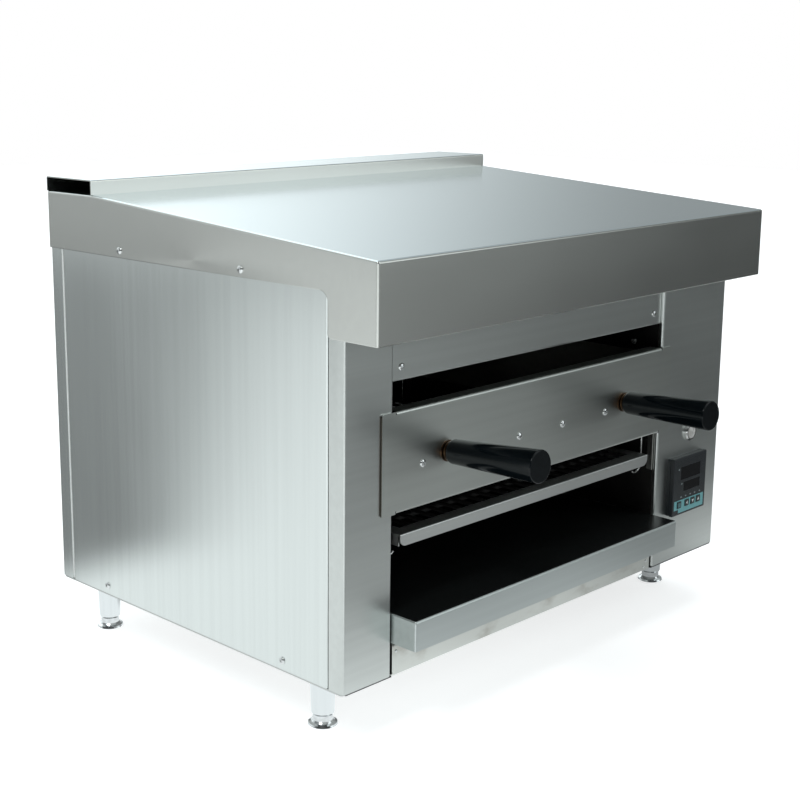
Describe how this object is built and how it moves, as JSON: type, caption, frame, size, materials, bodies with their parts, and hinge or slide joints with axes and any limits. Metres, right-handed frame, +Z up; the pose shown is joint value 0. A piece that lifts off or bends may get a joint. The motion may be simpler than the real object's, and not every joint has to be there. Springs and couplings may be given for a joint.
{
  "type": "salamander grill",
  "caption": "Electric salamander grill: a steel cabinet with a sloping top, a rack on a lift carriage with two front handles, a drip tray, a temperature controller and adjustable feet.",
  "frame": {"origin": "on the standing surface, under the middle of the bounding box", "axes": "+Z up, +X to the right seen from the front, +Y to the rear: the front with its handles faces -Y"},
  "size_m": [0.6644, 0.609, 0.5295],
  "materials": {
    "side_steel": "brushed, upright grain",
    "top_steel": "brushed, grain across the width",
    "front_steel": "brushed, upright grain",
    "inner_steel": "plain rolled sheet",
    "base_steel": "plain rolled sheet, dull",
    "cavity_steel": "rolled sheet darkened by heat",
    "mineral_wool": "matted fibre",
    "element_tube": "oxidised alloy sheath",
    "screw_steel": "bright",
    "foot_sleeve_steel": "turned, bright",
    "foot_insert_steel": "turned and polished",
    "wire_steel": "drawn wire, bright",
    "rack_steel": "satin",
    "tray_steel": "satin outside, dark and glossy floor",
    "grip_plastic": "black thermoset, glossy",
    "ferrule_brass": "turned, heat-browned",
    "bezel_plastic": "fine moulded grain",
    "window_plastic": "smoked window",
    "key_plastic": "moulded",
    "lamp_ring": "plated ring",
    "lamp_lens": "frosted lens",
    "electric_plastic": "moulded",
    "gland_plastic": "moulded nylon"
  },
  "bodies": {
    "cabinet": {"base_pan": "base_steel", "bottom_rail": "front_steel", "cable_gland": "gland_plastic", "cavity_back_wall": "cavity_steel", "cavity_ceiling": "cavity_steel", "cavity_left_wall": "cavity_steel", "cavity_right_wall": "cavity_steel", "contactor": "electric_plastic", "control_panel": "front_steel", "controller_bezel": "bezel_plastic", "controller_clamp": "bezel_plastic", "controller_housing": "bezel_plastic", "controller_windows": "window_plastic", "element_brackets": "inner_steel", "flue_channel": "top_steel", "foot_sleeve_1": "foot_sleeve_steel", "foot_sleeve_2": "foot_sleeve_steel", "foot_sleeve_3": "foot_sleeve_steel", "foot_sleeve_4": "foot_sleeve_steel", "heating_element_1": "element_tube", "heating_element_2": "element_tube", "heating_element_3": "element_tube", "heating_element_4": "element_tube", "hood": "top_steel", "left_side_panel": "side_steel", "left_stile": "front_steel", "panel_screws": "screw_steel", "pilot_lamp_lens": "lamp_lens", "pilot_lamp_ring": "lamp_ring", "rear_panel": "side_steel", "right_side_panel": "side_steel", "side_insulation": "mineral_wool", "temperature_probe": "screw_steel", "terminal_block": "electric_plastic", "top_insulation": "mineral_wool", "tray_runners": "inner_steel", "upper_inner_fascia": "front_steel"},
    "carriage": {"front_plate": "front_steel", "stiffener_channel": "inner_steel", "plate_screws": "screw_steel", "carriage_side_left": "inner_steel", "carriage_side_right": "inner_steel", "carriage_tie_bar": "inner_steel", "guide_pins": "screw_steel", "hanger_hooks": "wire_steel", "handle_grip_left": "grip_plastic", "handle_grip_right": "grip_plastic", "handle_ferrules": "ferrule_brass", "stud_nuts": "screw_steel"},
    "rack": {"rack_frame": "rack_steel", "rack_grid": "wire_steel"},
    "drip_tray": {"drip_tray": "tray_steel"},
    "key_1": {"key_1": "key_plastic"},
    "key_2": {"key_2": "key_plastic"},
    "key_3": {"key_3": "key_plastic"},
    "key_4": {"key_4": "key_plastic"},
    "foot_1": {"foot_insert_1": "foot_insert_steel"},
    "foot_2": {"foot_insert_2": "foot_insert_steel"},
    "foot_3": {"foot_insert_3": "foot_insert_steel"},
    "foot_4": {"foot_insert_4": "foot_insert_steel"}
  },
  "joints": [
    {"name": "carriage_lift", "type": "slide", "parent": "cabinet", "child": "carriage", "axis": [0, 0, 1], "range_m": [-0.045, 0.026]},
    {"name": "rack_slide", "type": "slide", "parent": "carriage", "child": "rack", "axis": [0, -1, 0], "range_m": [0, 0.16]},
    {"name": "tray_slide", "type": "slide", "parent": "cabinet", "child": "drip_tray", "axis": [0, -1, 0], "range_m": [0, 0.38]},
    {"name": "key_1_press", "type": "slide", "parent": "cabinet", "child": "key_1", "axis": [0, 1, 0], "range_m": [0, 0.0006], "stiffness_N_per_m": 1500},
    {"name": "key_2_press", "type": "slide", "parent": "cabinet", "child": "key_2", "axis": [0, 1, 0], "range_m": [0, 0.0006], "stiffness_N_per_m": 1500},
    {"name": "key_3_press", "type": "slide", "parent": "cabinet", "child": "key_3", "axis": [0, 1, 0], "range_m": [0, 0.0006], "stiffness_N_per_m": 1500},
    {"name": "key_4_press", "type": "slide", "parent": "cabinet", "child": "key_4", "axis": [0, 1, 0], "range_m": [0, 0.0006], "stiffness_N_per_m": 1500},
    {"name": "foot_1_adjust", "type": "slide", "parent": "cabinet", "child": "foot_1", "axis": [0, 0, -1], "range_m": [-0.005, 0.012]},
    {"name": "foot_2_adjust", "type": "slide", "parent": "cabinet", "child": "foot_2", "axis": [0, 0, -1], "range_m": [-0.005, 0.012]},
    {"name": "foot_3_adjust", "type": "slide", "parent": "cabinet", "child": "foot_3", "axis": [0, 0, -1], "range_m": [-0.005, 0.012]},
    {"name": "foot_4_adjust", "type": "slide", "parent": "cabinet", "child": "foot_4", "axis": [0, 0, -1], "range_m": [-0.005, 0.012]}
  ]
}
